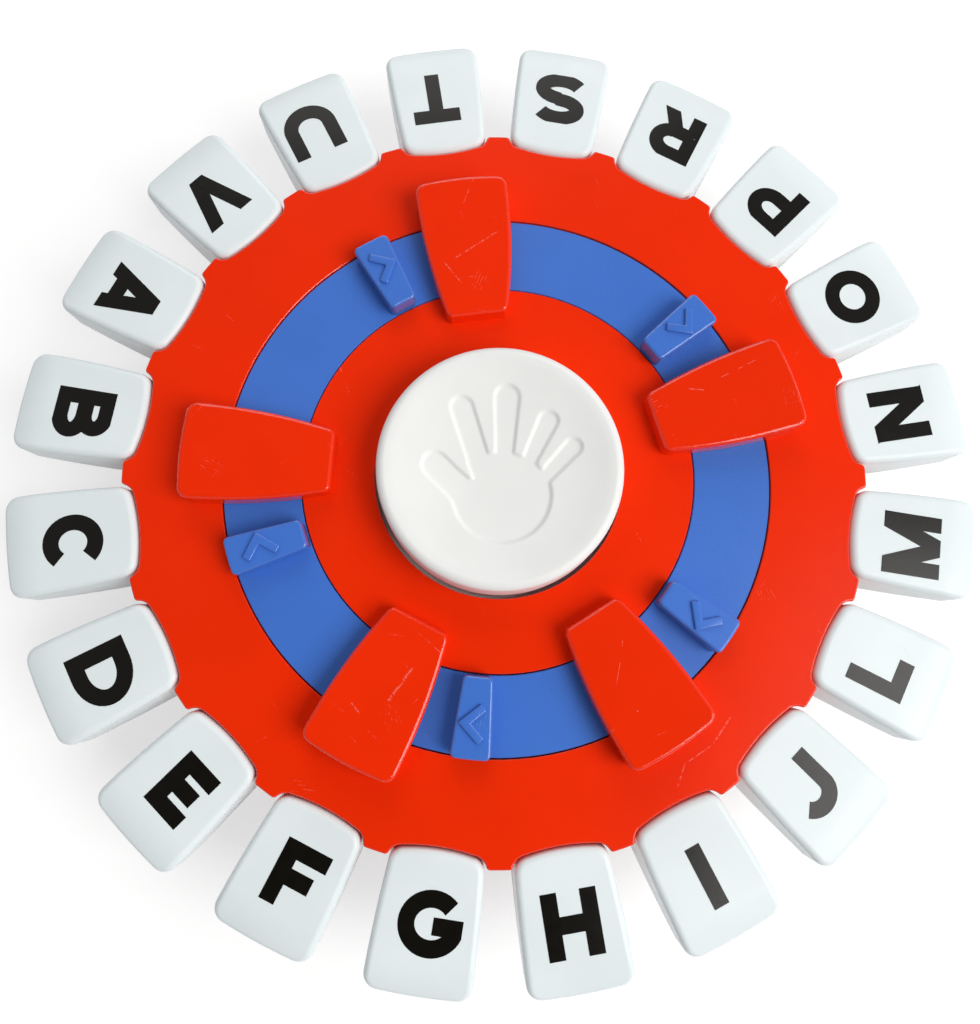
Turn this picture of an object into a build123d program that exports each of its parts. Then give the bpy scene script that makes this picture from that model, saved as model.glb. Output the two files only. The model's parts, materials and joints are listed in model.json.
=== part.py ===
from build123d import *
import math
import os

# Word board game: a round table-top game with twenty rocker keys round a red deck, a blue
# ring that resets the keys, and a palm button in the middle that starts the timer.
# Sizes are in millimetres. The table is at z = 0, and +Z is up. +Y points away from the
# player. Angles are degrees clockwise from +Y, seen from above.

# Heights above the table
foot_height = 1.5
parting_height = 28.0
deck_top = 36.0
bridge_rise = 8.0
tab_rise = 5.5
button_rise = 11.5

# Walls
casing_wall = 2.2
key_wall = 1.8
ring_wall = 1.8
button_wall = 2.0
rib_wall = 1.6
overlap = 0.5

# Clearances
moving_gap = 0.3
seat_gap = 0.3
running_gap = 0.06
key_side_gap = 0.75
key_inner_gap = 0.7
ring_seam = 0.35
button_seam = 1.1

# Deck and casing
tooth_radius = 104.8
scallop_radius = 100.1
tooth_corner = 1.1
skirt_depth = 8.0
deck_edge = 0.7
well_edge = 0.2

# Keys
key_count = 20
first_key_angle = 9.0
key_tip_radius = 137.0
key_inner_half = 12.3
key_outer_half = 14.1
key_side_bulge = 0.4
key_root_bow = 1.5
key_corner = 4.0
key_tip_drop = 2.0
key_bend_radius = 127.0
key_tip_depth = 5.5
key_root_depth = 21.0
key_edge = 1.8
key_draft = 1.5
key_travel = 13.0
pivot_radius = 95.0
pivot_height = 22.0
pivot_pin_radius = 1.5
hub_half = 9.0
hub_radius = 3.0
tail_half = 2.0
tail_lap = 5.0

# Reset ring
ring_inner_radius = 55.4
ring_outer_radius = 76.8
ring_drop = 0.3
ring_rail_height = 12.0
outer_rim_depth = 5.0
cam_setback = 3.6
cam_width = 7.0
cam_side_gap = 0.4
cam_slope = 6.0
cam_land = 3.0
ring_edge = 0.2

# Bridges over the ring, and the push tabs on it
bridge_angles = [352.4, 72.4, 148.0, 207.5, 273.2]
bridge_fall = 3.0
bridge_inner_lap = 9.6
bridge_outer_lap = 9.8
bridge_inner_half = 8.4
bridge_outer_half = 13.3
bridge_side_bulge = 1.4
bridge_corner = 3.0
bridge_edge = 1.1
bridge_ring_gap = 0.5
tab_lag = 21.6
tab_inner_half = 3.95
tab_outer_half = 5.4
tab_corner = 1.5
tab_edge = 0.8
tab_inset = 0.1
chevron_shift = 1.5
chevron_arm = 6.3
chevron_stroke = 2.1
chevron_rise = 0.5
chevron_edge = 0.25
chevron_half_angle = 42.5

# Palm button
button_radius = 33.8
button_lean = 0.5
button_roll = 2.0
button_rim = 3.4
button_dish = 2.6
button_travel = 4.0
button_flange = 2.2
flange_thickness = 1.6
guide_post_radius = 5.0
guide_gap = 0.2
guide_wall = 1.6
guide_tube_bottom = 14.0
palm_depth = 0.8
palm_radius = 13.7
palm_x = 0.0
palm_y = -7.0
finger_radius = 3.2
palm_fingers = [
    (-20.0, 1.3, -9.0, -8.0),
    (-10.4, 16.6, -6.0, 0.0),
    (1.9, 19.5, 0.6, 0.0),
    (13.0, 12.5, 5.5, -2.0),
    (19.1, 4.9, 8.0, -6.0),
]

# Springs
button_spring_radius = 9.0
button_spring_wire = 1.0
button_spring_turns = 6
ring_spring_radius = 2.2
ring_spring_wire = 0.5
ring_spring_turns = 9
ring_lug_length = 7.9
ring_lug_height = 6.0
ring_spring_angle = 61.0
ring_spring_height = 20.0

# Screws, posts and feet
outer_screw_setback = 12.4
outer_screw_angles = [36.0, 108.0, 180.0, 252.0, 324.0]
inner_screw_setback = 8.4
inner_screw_angles = [30.0, 110.0, 240.0]
post_radius = 4.2
screw_radius = 1.3
screw_fit = 0.05
screw_head_radius = 2.6
screw_head_depth = 2.0
screw_bite = 5.0
screw_grip = 12.0
screw_free = 0.25
base_edge = 1.0
cradle_reach = 3.0
cradle_lip = 2.4
sill_gap = 1.0
foot_radius = 6.0
foot_circle = 92.0
foot_angles = [0.0, 72.0, 144.0, 216.0, 288.0]

# Batteries and their bay
cell_radius = 7.25
cell_length = 49.5
cell_nub_radius = 2.7
cell_nub_length = 1.0
cell_gap = 0.5
bay_centre_y = -27.5
contact_thickness = 0.4
contact_room = 2.2
bay_wall = 1.6
door_thickness = 1.8
door_gap = 0.25
door_ledge = 1.5
door_screw_x = -33.5
door_ear_radius = 4.0
door_post_radius = 3.2
door_head_radius = 2.4
door_head_depth = 1.1
contact_half = 4.5

# Electronics
board_width = 40.0
board_length = 24.0
board_thickness = 1.6
board_centre_y = 25.0
board_height = 8.0
switch_size = 6.0
switch_body_height = 4.3
switch_nub_radius = 1.75
switch_nub_height = 7.0
switch_x = -15.0
chip_x = -5.0
chip_size = 8.0
chip_height = 1.8
buzzer_radius = 6.0
buzzer_height = 5.5
buzzer_x = 7.5
wire_radius = 0.6
wire_bend = 2.6
wire_low = 7.0
wire_high = 15.5
wire_turns = [(24.0, 22.0), (26.4, 28.0)]
peg_radius = 1.0
peg_inset = 3.0
sound_hole_radius = 0.9
sound_hole_spread = 3.6
plunger_radius = 2.5
guide_post_top = 28.0

# Detent comb
detent_inner_radius = 76.0
detent_outer_radius = 84.0
detent_plate = 1.5
detent_prong = 1.2
detent_depth = 4.5
detent_top = 27.0

# Heights and radii that follow from the sizes above
floor_top = foot_height + casing_wall
deck_under = deck_top - casing_wall
ring_top = deck_top - ring_drop
ring_under = ring_top - casing_wall
skirt_bottom = deck_top - skirt_depth
well_inner = ring_inner_radius - ring_seam
well_outer = ring_outer_radius + ring_seam
hole_radius = button_radius + button_seam
cam_outer_radius = ring_outer_radius - cam_setback
cam_inner_radius = cam_outer_radius - cam_width
tail_end_radius = cam_outer_radius - tail_lap
bridge_inner_radius = ring_inner_radius - bridge_inner_lap
bridge_outer_radius = ring_outer_radius + bridge_outer_lap
chevron_radius = (ring_inner_radius + ring_outer_radius) / 2 + chevron_shift
ring_lug_reach = ring_inner_radius - ring_lug_length
outer_screw_radius = ring_outer_radius + outer_screw_setback
inner_screw_radius = ring_inner_radius - inner_screw_setback
key_inner_radius = scallop_radius + key_inner_gap
key_pitch = 360.0 / key_count
key_angles = [first_key_angle + key_pitch * i for i in range(key_count)]
tail_top = pivot_height + tail_half
cam_bottom = tail_top + moving_gap
tail_lift = (pivot_radius - cam_inner_radius) * math.sin(math.radians(key_travel))
cam_lead_height = tail_top + tail_lift + moving_gap
button_top = deck_top + button_rise
collar_bottom = deck_under - 4.4
flange_top = collar_bottom - seat_gap
board_top = board_height + board_thickness
screw_seat = parting_height - screw_grip
window_sill = deck_top - key_root_depth - sill_gap
cell_axis = foot_height + door_thickness + seat_gap + cell_radius
cell_top = cell_axis + cell_radius
bay_half_x = (cell_length + cell_nub_length) / 2 + contact_room
bay_half_y = 2 * cell_radius + cell_gap


def turned(shape, angle):
    """A copy turned clockwise about the middle of the game."""
    return Rot(0, 0, -angle) * shape


def around(shape, angles):
    """Copies of one shape, one at each clockwise angle."""
    return [turned(shape, angle) for angle in angles]


def disc(radius, low, high):
    """An upright cylinder on the middle axis."""
    return Pos(0, 0, (low + high) / 2) * Cylinder(radius, high - low)


def tube(outer, inner, low, high):
    """An upright tube on the middle axis."""
    return disc(outer, low, high) - disc(inner, low - 1, high + 1)


def block(left, right, near, far, low, high):
    """A box between two corners."""
    middle = Pos((left + right) / 2, (near + far) / 2, (low + high) / 2)
    return middle * Box(right - left, far - near, high - low)


def pillar(radius, x, y, low, high):
    """An upright cylinder away from the middle."""
    return Pos(x, y, 0) * disc(radius, low, high)


def place(radius, angle):
    """The x and y of a point at a clockwise angle."""
    turn = math.radians(angle)
    return radius * math.sin(turn), radius * math.cos(turn)


def petal(inner_radius, outer_radius, inner_half, outer_half, bulge, corner, root_bow=None):
    """Flat outline along +Y between two arcs round the middle, with bowed sides.

    A root bow bends the inner end towards the middle instead."""
    low = math.sqrt(inner_radius**2 - inner_half**2)
    if root_bow:
        low = inner_radius + root_bow
    high = math.sqrt(outer_radius**2 - outer_half**2)
    side = (inner_half + outer_half) / 2 + bulge
    waist = (low + high) / 2
    edges = [
        ThreePointArc((-inner_half, low), (0, inner_radius), (inner_half, low)),
        ThreePointArc((inner_half, low), (side, waist), (outer_half, high)),
        ThreePointArc((outer_half, high), (0, outer_radius), (-outer_half, high)),
        ThreePointArc((-outer_half, high), (-side, waist), (-inner_half, low)),
    ]
    outline = make_face(edges)
    return fillet(outline.vertices(), corner)


def prism(outline, low, high):
    """A flat outline raised between two heights."""
    return Pos(0, 0, low) * extrude(outline, high - low)


def top_edges(solid, height):
    """The edges that lie at one height."""
    return solid.edges().filter_by_position(Axis.Z, height - 0.01, height + 0.01)


def key_seats(growth):
    """The scallops that the keys sit in, grown by a wall."""
    half = key_inner_half + key_side_gap + growth
    seat = petal(
        scallop_radius - growth,
        tooth_radius + 20,
        half,
        half + key_side_bulge,
        0.1,
        key_corner + growth,
        key_root_bow,
    )
    return around(seat, key_angles)


def deck_outline(inset):
    """The toothed outline of the deck, moved in by a wall."""
    return Circle(tooth_radius - inset) - key_seats(inset)


def tooth_corners(solid):
    """The upright edges at the tips of the teeth."""
    upright = solid.edges().filter_by(Axis.Z)
    reach = tooth_radius - 0.1
    return [edge for edge in upright if math.hypot(edge.center().X, edge.center().Y) > reach]


def well_edges(solid):
    """The round top edges of the ring's well and of the button's hole."""
    rounds = top_edges(solid, deck_top).filter_by(GeomType.CIRCLE)
    return [edge for edge in rounds if button_radius < edge.radius < bridge_outer_radius]


def bridge_side(depth):
    """The side view of a bridge, whose top falls towards the middle, sunk by a depth."""
    low = deck_under - 2
    high = deck_top + bridge_rise - depth
    points = [(bridge_inner_radius, low), (bridge_outer_radius, low),
              (bridge_outer_radius, high), (bridge_inner_radius, high - bridge_fall)]
    outline = make_face(Plane.YZ * Polyline(*points, close=True))
    return extrude(outline, bridge_outer_half + 5, both=True)


def bridge_cap():
    """One solid bridge across the ring, with rounded top edges."""
    outline = petal(
        bridge_inner_radius,
        bridge_outer_radius,
        bridge_inner_half,
        bridge_outer_half,
        bridge_side_bulge,
        bridge_corner,
    )
    solid = prism(outline, deck_under, deck_top + bridge_rise + 1) & bridge_side(0)
    crown = solid.faces().sort_by(Axis.Z)[-1]
    return fillet(crown.edges(), bridge_edge)


def bridge_hollow():
    """The space below one bridge."""
    outline = petal(
        bridge_inner_radius + casing_wall,
        bridge_outer_radius - casing_wall,
        bridge_inner_half - casing_wall,
        bridge_outer_half - casing_wall,
        bridge_side_bulge,
        bridge_corner - casing_wall / 2,
    )
    return prism(outline, deck_under - 1, deck_top + bridge_rise) & bridge_side(casing_wall)


def screw_places():
    """The x and y of every housing screw."""
    outer = [place(outer_screw_radius, angle) for angle in outer_screw_angles]
    inner = [place(inner_screw_radius, angle) for angle in inner_screw_angles]
    return outer + inner


def make_top_cover():
    """The red moulding: deck, toothed edge, ring well, bridges and button collar."""
    cover = prism(deck_outline(0), skirt_bottom, deck_top)
    cover = fillet(tooth_corners(cover), tooth_corner)
    cover = fillet(top_edges(cover, deck_top), deck_edge)
    cover -= prism(deck_outline(casing_wall), skirt_bottom - 1, deck_under)
    cover -= tube(well_outer, well_inner, skirt_bottom - 1, deck_top + 1)
    cover -= disc(hole_radius, deck_under - 1, deck_top + 1)
    cover = chamfer(well_edges(cover), well_edge)
    cover += tube(well_inner, well_inner - casing_wall, skirt_bottom, deck_under)
    cover += tube(well_outer + casing_wall, well_outer, ring_top - outer_rim_depth, deck_under)
    cover += tube(hole_radius + casing_wall, hole_radius, collar_bottom, deck_under)
    arch = tube(well_outer, well_inner, deck_under - 1, ring_top + bridge_ring_gap)
    cover += around(bridge_cap() - arch, bridge_angles)
    cover -= around(bridge_hollow(), bridge_angles)
    for x, y in screw_places():
        cover += pillar(post_radius, x, y, parting_height, deck_under + overlap)
        cover -= pillar(screw_radius + screw_fit, x, y, parting_height - 1,
                        parting_height + screw_bite)
    return cover


def key_outline(inset):
    """The outline of a key from above, moved in by a wall."""
    return petal(
        key_inner_radius + inset,
        key_tip_radius - inset,
        key_inner_half - inset,
        key_outer_half - inset,
        key_side_bulge,
        key_corner - inset,
        key_root_bow,
    )


def key_column(inset):
    """A key's outline drawn down from above the deck, growing with the draft."""
    high = deck_top + 1
    column = extrude(key_outline(inset), key_root_depth + 2, dir=(0, 0, -1), taper=-key_draft)
    return Pos(0, 0, high) * column


def key_side(inset):
    """The side view of a key: a flat top that rolls off to the tip, and a wedge below."""
    root = key_inner_radius - 3
    tip = key_tip_radius + 3
    fall = key_tip_drop * ((tip - key_bend_radius) / (key_tip_radius - key_bend_radius)) ** 2
    tip_top = deck_top - fall - inset
    bend = (key_bend_radius, deck_top - inset)
    drop = key_root_depth if inset > 0 else 0.0
    bottom_tip = deck_top - key_tip_drop - key_tip_depth - drop
    bottom_root = deck_top - key_root_depth - drop
    slope = TangentArc(bend, (tip, tip_top), tangent=(1, 0))
    rest = Polyline((tip, tip_top), (tip, bottom_tip), (root, bottom_root), (root, deck_top - inset), bend)
    outline = make_face([Plane.YZ * slope, Plane.YZ * rest])
    return extrude(outline, key_outer_half + 5, both=True)


def crown_edges(cap):
    """The outer edges of a key's flat top and slope, without the bend between the two."""
    facing_up = math.cos(math.radians(45))
    tops = [face for face in cap.faces() if face.normal_at(face.center()).Z > facing_up]
    edges = [edge for face in tops for edge in face.edges()]
    bend = Vector(0, key_bend_radius, deck_top)
    return [edge for edge in edges if (edge.center() - bend).length > 1]


def cross_pin(radius, half_length):
    """A round bar across a key at its pivot."""
    return Pos(0, pivot_radius, pivot_height) * Rot(0, 90, 0) * Cylinder(radius, 2 * half_length)


def make_key():
    """One rocker key that points along +Y: cap, hub, pivot pins and tail."""
    cap = key_column(0) & key_side(0)
    cap = fillet(crown_edges(cap), key_edge)
    cap -= key_column(key_wall) & key_side(key_wall)
    neck_end = key_inner_radius + key_root_bow + key_wall / 2
    neck = block(-hub_half, hub_half, pivot_radius, neck_end,
                 pivot_height - hub_radius, pivot_height + hub_radius)
    tail = block(-tail_half, tail_half, tail_end_radius, pivot_radius,
                 pivot_height - tail_half, tail_top)
    pins = cross_pin(pivot_pin_radius, hub_half + moving_gap + rib_wall)
    return cap + neck + cross_pin(hub_radius, hub_half) + pins + tail


def chevron(top):
    """The raised arrowhead on a push tab. It points clockwise."""
    arm = block(-chevron_arm, chevron_stroke / 2, -chevron_stroke / 2, chevron_stroke / 2,
                top - overlap, top + chevron_rise)
    arrow = Rot(0, 0, chevron_half_angle) * arm + Rot(0, 0, -chevron_half_angle) * arm
    arrow = chamfer(top_edges(arrow, top + chevron_rise), chevron_edge)
    return Pos(chevron_arm * 0.38, chevron_radius, 0) * arrow


def ring_tab():
    """One push tab of the reset ring, with its arrowhead."""
    top = deck_top + tab_rise
    outline = petal(ring_inner_radius + tab_inset, ring_outer_radius - tab_inset,
                    tab_inner_half, tab_outer_half, 0.05, tab_corner)
    solid = prism(outline, ring_under, top)
    solid = fillet(top_edges(solid, top), tab_edge)
    return solid + chevron(top)


def tab_hollow():
    """The space below one push tab."""
    outline = petal(
        ring_inner_radius + tab_inset + ring_wall,
        ring_outer_radius - tab_inset - ring_wall,
        tab_inner_half - ring_wall,
        tab_outer_half - ring_wall,
        0.05,
        0.5,
    )
    return prism(outline, ring_under - 1, deck_top + tab_rise - ring_wall)


def reset_cam():
    """One ramp below the ring, just before a key's tail, that presses the tail down."""
    start = -(tail_half + cam_side_gap)
    foot = start - cam_slope
    back = foot - cam_land
    top = ring_under + overlap
    points = [(start, top), (start, cam_lead_height), (foot, cam_bottom), (back, cam_bottom),
              (back, top)]
    outline = make_face(Plane.XZ * Polyline(*points, close=True))
    ramp = extrude(outline, cam_outer_radius - cam_inner_radius, dir=(0, 1, 0))
    return Pos(0, cam_inner_radius, 0) * ramp


def ring_lug():
    """The lug inside the ring that its spring hooks on."""
    half = ring_lug_height / 2
    return block(-ring_wall / 2, ring_wall / 2, ring_lug_reach, ring_inner_radius + overlap,
                 ring_spring_height - half, ring_spring_height + half)


def make_reset_ring():
    """The blue ring: face plate, rims, five push tabs, cams and spring lug."""
    plate = tube(ring_outer_radius, ring_inner_radius, ring_under, ring_top)
    plate = chamfer(top_edges(plate, ring_top), ring_edge)
    inner_rim = tube(ring_inner_radius + ring_wall, ring_inner_radius,
                     ring_rail_height + seat_gap, ring_under)
    outer_rim = tube(ring_outer_radius, ring_outer_radius - ring_wall,
                     ring_top - outer_rim_depth, ring_under)
    ring = plate + inner_rim + outer_rim
    tab_angles = [angle - tab_lag for angle in bridge_angles]
    ring += around(ring_tab(), tab_angles)
    ring -= around(tab_hollow(), tab_angles)
    ring += around(reset_cam(), key_angles)
    ring += turned(ring_lug(), ring_spring_angle)
    return ring


def dish_ball(extra):
    """The ball that hollows the top of the palm button, sunk by an extra depth."""
    flat = button_radius - button_lean - button_rim
    radius = (flat**2 + button_dish**2) / (2 * button_dish)
    return Pos(0, 0, button_top - button_dish - extra + radius) * Sphere(radius)


def palm_outline():
    """The flat outline of the hand that is pressed into the button."""
    hand = Pos(palm_x, palm_y) * Circle(palm_radius)
    for tip_x, tip_y, root_x, root_y in palm_fingers:
        run_x = tip_x - root_x
        run_y = tip_y - root_y
        length = math.hypot(run_x, run_y)
        lean = math.degrees(math.atan2(run_y, run_x))
        finger = SlotCenterToCenter(length, 2 * finger_radius)
        hand += Pos((tip_x + root_x) / 2, (tip_y + root_y) / 2) * Rot(0, 0, lean) * finger
    return hand


def make_push_button():
    """The palm button: rolled rim, dished top, hand, leaning wall, flange and guide tube."""
    flange_bottom = flange_top - flange_thickness
    web_bottom = button_top - button_dish - button_wall
    button = disc(button_radius, flange_bottom, deck_top)
    crown = Cone(button_radius, button_radius - button_lean, button_rise)
    button += Pos(0, 0, deck_top + button_rise / 2) * crown
    button = fillet(top_edges(button, button_top), button_roll)
    button -= dish_ball(0)
    button -= prism(palm_outline(), web_bottom, button_top) & dish_ball(palm_depth)
    button -= disc(button_radius - button_wall, flange_bottom - 1, web_bottom)
    button += tube(button_radius + button_flange, button_radius - button_wall,
                   flange_bottom, flange_top)
    inner = guide_post_radius + guide_gap
    button += tube(inner + guide_wall, inner, guide_tube_bottom, web_bottom + overlap)
    plunger_bottom = board_top + switch_nub_height + button_travel + seat_gap
    button += pillar(plunger_radius, switch_x, board_centre_y, plunger_bottom,
                     web_bottom + overlap)
    return button


def coil(radius, wire, turns, length):
    """A round-wire coil that rises from the table plane."""
    path = Helix(length / turns, length, radius)
    section = Plane(path @ 0, z_dir=path % 0) * Circle(wire / 2)
    return sweep(section, path)


def make_button_spring():
    """The coil spring that lifts the palm button."""
    low = floor_top + button_spring_wire / 2 + seat_gap
    high = button_top - button_dish - button_wall - button_spring_wire / 2 - seat_gap
    spring = coil(button_spring_radius, button_spring_wire, button_spring_turns, high - low)
    return Pos(0, 0, low) * spring


def make_ring_return_spring():
    """The coil spring between the ring's lug and a screw post."""
    post_x, post_y = place(inner_screw_radius, inner_screw_angles[0])
    lug_x, lug_y = place((ring_lug_reach + ring_inner_radius) / 2 - 1, ring_spring_angle)
    start = Vector(lug_x, lug_y, ring_spring_height)
    finish = Vector(post_x, post_y, ring_spring_height)
    run = finish - start
    near = ring_wall / 2 + ring_spring_wire + ring_spring_radius * 0.6
    length = run.length - near - post_radius - ring_spring_wire - seat_gap
    axis = Plane(start + run.normalized() * near, z_dir=run)
    return axis * coil(ring_spring_radius, ring_spring_wire, ring_spring_turns, length)


def key_cradle():
    """The two ribs of the casing that carry one key's pivot pins."""
    inner = hub_half + moving_gap
    saddle = pivot_pin_radius + running_gap
    rib = block(inner, inner + rib_wall, pivot_radius - cradle_reach, pivot_radius + cradle_lip,
                floor_top - overlap, pivot_height + cradle_reach)
    throat = saddle * 0.8
    slot = block(-30, 30, pivot_radius - throat, pivot_radius + throat,
                 pivot_height, pivot_height + 10)
    pair = rib + mirror(rib, Plane.YZ)
    return pair - cross_pin(saddle, 30) - slot


def bay_box(growth, low, high):
    """The room that the cells and their contacts take, grown by a wall."""
    return block(-bay_half_x - growth, bay_half_x + growth,
                 bay_centre_y - bay_half_y - growth, bay_centre_y + bay_half_y + growth,
                 low, high)


def door_shape(growth, low, high):
    """The outline of the battery door with its screw ear, grown by a gap."""
    plate = bay_box(door_ledge + growth, low, high)
    return plate + pillar(door_ear_radius + growth, door_screw_x, bay_centre_y, low, high) + block(
        door_screw_x, -bay_half_x, bay_centre_y - door_ear_radius - growth,
        bay_centre_y + door_ear_radius + growth, low, high)


def board_pegs():
    """The x and y of the pegs that carry the circuit board."""
    x = board_width / 2 - peg_inset
    y = board_length / 2 - peg_inset
    return [(sx * x, board_centre_y + sy * y) for sx in (-1, 1) for sy in (-1, 1)]


def sound_holes():
    """The small holes in the floor below the buzzer."""
    ring = [place(sound_hole_spread, 60 * i) for i in range(6)]
    return [(buzzer_x + x, board_centre_y + y) for x, y in ring + [(0, 0)]]


def make_base_shell():
    """The lower casing: floor, drum wall, key cradles, posts, rail and battery bay."""
    drum = disc(tooth_radius, foot_height, parting_height - moving_gap)
    drum = chamfer(drum.edges().sort_by(Axis.Z)[:1], base_edge)
    drum -= disc(tooth_radius - casing_wall, floor_top, deck_top)
    window = block(-key_outer_half, key_outer_half, pivot_radius + cradle_lip + 1, tooth_radius + 2,
                   window_sill, deck_top)
    drum -= around(window, key_angles)
    base = drum + around(key_cradle(), key_angles)
    base += tube(ring_inner_radius + ring_wall, well_inner - casing_wall,
                 floor_top - overlap, ring_rail_height)
    base += bay_box(bay_wall, floor_top - overlap, cell_top + seat_gap + bay_wall)
    base -= bay_box(0, foot_height - 1, cell_top + seat_gap)
    base += pillar(door_post_radius, door_screw_x, bay_centre_y, floor_top - overlap, cell_axis)
    base -= door_shape(door_gap, foot_height - 1, foot_height + door_thickness)
    base -= pillar(screw_radius + screw_fit, door_screw_x, bay_centre_y, foot_height, cell_axis - 1)
    base += disc(guide_post_radius, floor_top - overlap, guide_post_top)
    for x, y in board_pegs():
        base += pillar(peg_radius * 2, x, y, floor_top - overlap, board_height)
        base += pillar(peg_radius, x, y, board_height - overlap, board_top + peg_radius)
    for x, y in sound_holes():
        base -= pillar(sound_hole_radius, x, y, foot_height - 1, floor_top + 1)
    for x, y in screw_places():
        base += pillar(post_radius, x, y, floor_top - overlap, parting_height)
        base -= pillar(screw_radius + screw_free, x, y, 0, parting_height + 1)
        base -= pillar(screw_head_radius + screw_free, x, y, 0, screw_seat)
    return base


def make_key_detent_ring():
    """The comb whose forks grip each key's tail, so that the key stays where it is put."""
    comb = tube(detent_outer_radius, detent_inner_radius, floor_top, floor_top + detent_plate)
    near = detent_inner_radius + 2
    gap = tail_half + moving_gap
    prong = block(gap, gap + detent_prong, near, near + detent_depth,
                  floor_top + detent_plate - overlap, detent_top)
    return comb + around(prong + mirror(prong, Plane.YZ), key_angles)


def make_circuit_board():
    """The timer board, with a hole for each peg."""
    half = board_width / 2
    board = block(-half, half, board_centre_y - board_length / 2,
                  board_centre_y + board_length / 2, board_height, board_top)
    for x, y in board_pegs():
        board -= pillar(peg_radius + moving_gap / 2, x, y, board_height - 1, board_top + 1)
    return board


def make_timer_chip():
    """The timer chip on the board."""
    half = chip_size / 2
    return block(chip_x - half, chip_x + half, board_centre_y - half, board_centre_y + half,
                 board_top, board_top + chip_height)


def make_tact_switch():
    """The push switch below the palm button's plunger."""
    half = switch_size / 2
    body = block(switch_x - half, switch_x + half, board_centre_y - half, board_centre_y + half,
                 board_top, board_top + switch_body_height)
    return body + pillar(switch_nub_radius, switch_x, board_centre_y,
                         board_top + switch_body_height - overlap, board_top + switch_nub_height)


def make_buzzer():
    """The round buzzer, with its sound hole."""
    top = board_top + buzzer_height
    body = pillar(buzzer_radius, buzzer_x, board_centre_y, board_top, top)
    return body - pillar(sound_hole_radius, buzzer_x, board_centre_y, top - 2, top + 1)


def cell_rows():
    """The y of each cell's axis, and which way its nub points."""
    offset = cell_radius + cell_gap / 2
    return [(bay_centre_y + offset, 1), (bay_centre_y - offset, -1)]


def make_battery_cells():
    """The two round cells, side by side and head to tail."""
    cells = []
    for y, way in cell_rows():
        can = Rot(0, 90, 0) * Cylinder(cell_radius, cell_length)
        nub = Rot(0, 90, 0) * Cylinder(cell_nub_radius, cell_nub_length + overlap)
        nub = Pos((cell_length + cell_nub_length - overlap) / 2, 0, 0) * nub
        cell = can + nub
        cells.append(Pos(0, y, cell_axis) * Rot(0, 0, 0 if way > 0 else 180) * cell)
    return Compound(children=cells)


def make_battery_contacts():
    """The spring plates at the ends of the cells."""
    outer = bay_half_x
    plates = []
    low = cell_axis - contact_half
    high = cell_axis + contact_half
    link = block(-outer, -outer + contact_thickness, cell_rows()[1][0] - contact_half,
                 cell_rows()[0][0] + contact_half, low, high)
    plates.append(link)
    for y, way in cell_rows():
        plates.append(block(outer - contact_thickness, outer, y - contact_half, y + contact_half,
                            low, high))
    return Compound(children=plates)


def make_battery_wires():
    """The two leads from the battery bay to the circuit board."""
    start_y = bay_centre_y + bay_half_y + bay_wall
    wires = []
    for x, y in wire_turns:
        end_x = board_width / 2 - peg_inset
        points = [(x, start_y, wire_low), (x, y, wire_low), (x, y, wire_high),
                  (end_x, y, wire_high), (end_x, y, board_top)]
        path = FilletPolyline(*points, radius=wire_bend)
        section = Plane(path @ 0, z_dir=path % 0) * Circle(wire_radius)
        wires.append(sweep(section, path))
    return Compound(children=wires)


def make_battery_door():
    """The cover of the battery bay, flush with the floor, with a screw ear."""
    door = door_shape(0, foot_height, foot_height + door_thickness)
    door -= pillar(screw_radius + screw_free, door_screw_x, bay_centre_y, 0, floor_top + 5)
    door -= pillar(door_head_radius + screw_free, door_screw_x, bay_centre_y, 0,
                   foot_height + door_head_depth)
    return door


def screw(x, y, seat, tip, head_radius, head_depth):
    """A pan-head screw that points up, with a cross slot in its head."""
    body = pillar(screw_radius, x, y, seat - overlap, tip)
    head = pillar(head_radius, x, y, seat - head_depth, seat)
    slot = Pos(x, y, seat - head_depth) * (Box(head_radius * 1.3, 0.6, head_depth * 0.8)
                                           + Box(0.6, head_radius * 1.3, head_depth * 0.8))
    return body + head - slot


def make_battery_door_screw():
    """The screw that holds the battery door."""
    return screw(door_screw_x, bay_centre_y, foot_height + door_head_depth, cell_axis - 2,
                 door_head_radius, door_head_depth)


def make_housing_screws():
    """The screws that hold the deck to the lower casing, from below."""
    screws = [screw(x, y, screw_seat, parting_height + screw_bite - 0.5, screw_head_radius,
                    screw_head_depth) for x, y in screw_places()]
    return Compound(children=screws)


def make_rubber_feet():
    """The five feet under the lower casing."""
    feet = []
    for angle in foot_angles:
        x, y = place(foot_circle, angle)
        foot = pillar(foot_radius, x, y, 0, foot_height)
        feet.append(chamfer(foot.edges().sort_by(Axis.Z)[:1], foot_height / 3))
    return Compound(children=feet)


part_makers = {
    "base_shell": make_base_shell,
    "top_cover": make_top_cover,
    "reset_ring": make_reset_ring,
    "push_button": make_push_button,
    "button_spring": make_button_spring,
    "ring_return_spring": make_ring_return_spring,
    "key_detent_ring": make_key_detent_ring,
    "circuit_board": make_circuit_board,
    "timer_chip": make_timer_chip,
    "tact_switch": make_tact_switch,
    "buzzer": make_buzzer,
    "battery_cells": make_battery_cells,
    "battery_contacts": make_battery_contacts,
    "battery_wires": make_battery_wires,
    "battery_door": make_battery_door,
    "battery_door_screw": make_battery_door_screw,
    "housing_screws": make_housing_screws,
    "rubber_feet": make_rubber_feet,
}


def main():
    os.makedirs("parts", exist_ok=True)
    for name, maker in part_makers.items():
        export_step(maker(), f"parts/{name}.step")
    key = make_key()
    for number, angle in enumerate(key_angles, start=1):
        export_step(turned(key, angle), f"parts/key_{number:02d}.step")


if __name__ == "__main__":
    main()
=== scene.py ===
import json
import math
import bmesh
import bpy
from mathutils import Matrix, Vector


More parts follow.
